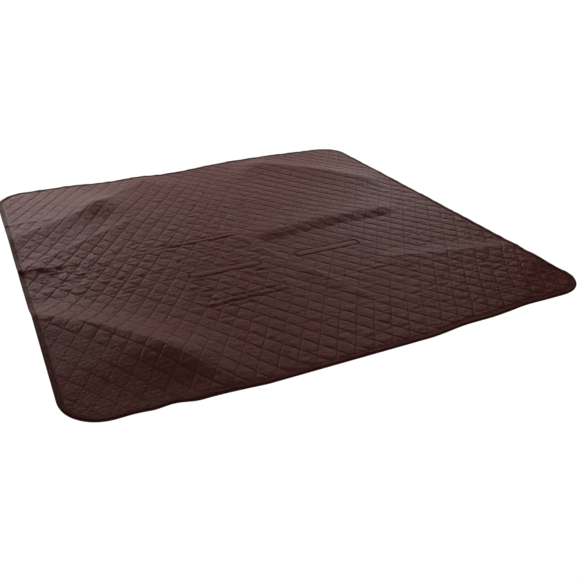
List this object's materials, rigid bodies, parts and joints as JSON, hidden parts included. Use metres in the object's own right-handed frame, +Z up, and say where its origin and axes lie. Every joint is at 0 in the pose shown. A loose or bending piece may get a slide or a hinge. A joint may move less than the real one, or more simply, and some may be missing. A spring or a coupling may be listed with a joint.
{
  "type": "quilted seat cover",
  "caption": "Nearly square, padded, diamond-quilted fabric seat cover with rounded corners, a bound edge and flap-closed belt slots.",
  "frame": {"origin": "on the surface that the cover lies on, below the middle of its outline", "axes": "+Z up, out of the quilted face; +X to the right along the shorter edges; +Y along the longer edges, away from the slots' end"},
  "size_m": [1.358, 1.437, 0.0393],
  "materials": {
    "face_cloth": "brushed microfibre, soft sheen",
    "lining_cloth": "plain woven, matt",
    "binding_cloth": "plain woven tape, matt",
    "wadding": "lofted fibre",
    "tape": "hook and loop pile",
    "thread": "twisted polyester"
  },
  "bodies": {
    "cover": {"backing_cloth": "lining_cloth", "batting": "wadding", "face_cloth": "face_cloth", "edge_binding": "binding_cloth", "binding_stitch": "thread", "left_slot_facing": "lining_cloth", "left_slot_loop_tape": "tape", "left_flap_seam_strip": "face_cloth", "left_slot_bartack_left": "thread", "left_slot_bartack_right": "thread", "right_slot_facing": "lining_cloth", "right_slot_loop_tape": "tape", "right_flap_seam_strip": "face_cloth", "right_slot_bartack_left": "thread", "right_slot_bartack_right": "thread"},
    "left_flap": {"left_slot_flap": "face_cloth", "left_flap_hook_tape": "tape"},
    "right_flap": {"right_slot_flap": "face_cloth", "right_flap_hook_tape": "tape"}
  },
  "joints": [
    {"name": "left_flap_hinge", "type": "hinge", "parent": "cover", "child": "left_flap", "pos_m": [-0.16, -0.1674, 0.0074], "axis": [-1, 0, 0], "range_deg": [0, 150]},
    {"name": "right_flap_hinge", "type": "hinge", "parent": "cover", "child": "right_flap", "pos_m": [0.16, -0.1674, 0.0074], "axis": [-1, 0, 0], "range_deg": [0, 150]}
  ]
}
